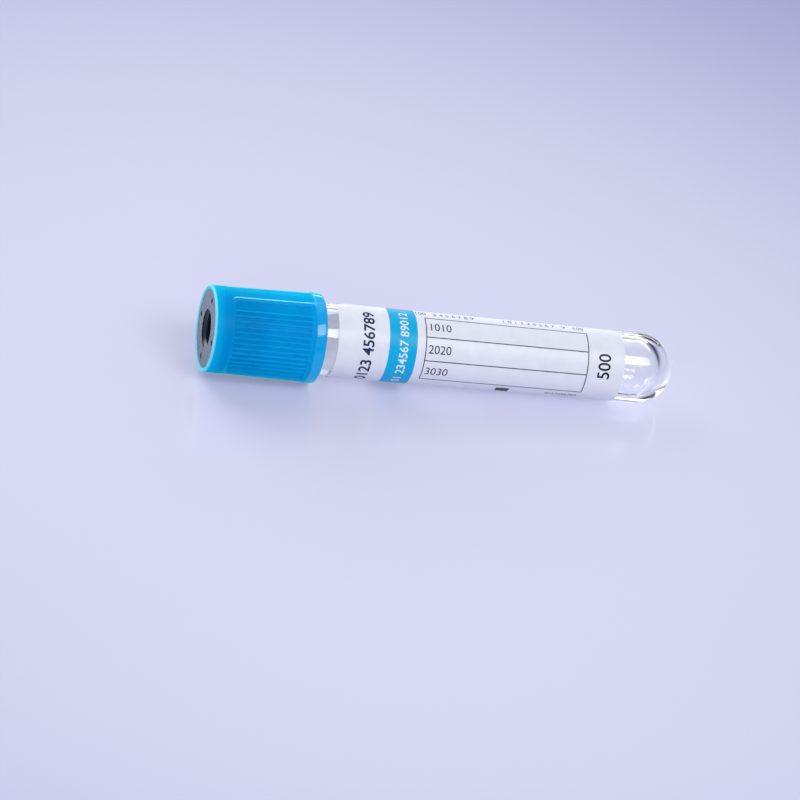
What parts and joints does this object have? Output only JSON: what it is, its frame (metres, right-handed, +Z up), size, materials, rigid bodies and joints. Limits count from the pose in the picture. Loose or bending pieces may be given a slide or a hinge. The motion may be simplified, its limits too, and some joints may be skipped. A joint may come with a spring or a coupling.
{
  "type": "blood collection tube",
  "caption": "Capped clear plastic test tube lying on its side, with a wrapped label, a rubber stopper in a ribbed blue shell and a little liquid additive.",
  "frame": {"origin": "centre of the bounding box's bottom face, on the surface the tube lies on", "axes": "+X along the tube from the cap to the round end, +Z up, +Y to the side away from the ruled label"},
  "size_m": [0.0842, 0.0156, 0.0158],
  "materials": {
    "tube": "clear moulded plastic, polished",
    "stopper": "matt dark butyl rubber",
    "cap": "semi-gloss light blue moulded plastic",
    "label": "white coated label with blue band and dark rules",
    "additive": "clear watery liquid"
  },
  "bodies": {
    "tube": {"tube": "tube", "label": "label", "additive": "additive"},
    "closure": {"cap": "cap", "stopper": "stopper"}
  },
  "joints": [
    {"name": "closure_pull", "type": "slide", "parent": "tube", "child": "closure", "axis": [-0.9996, 0, 0.0289], "range_m": [0, 0.03]}
  ]
}
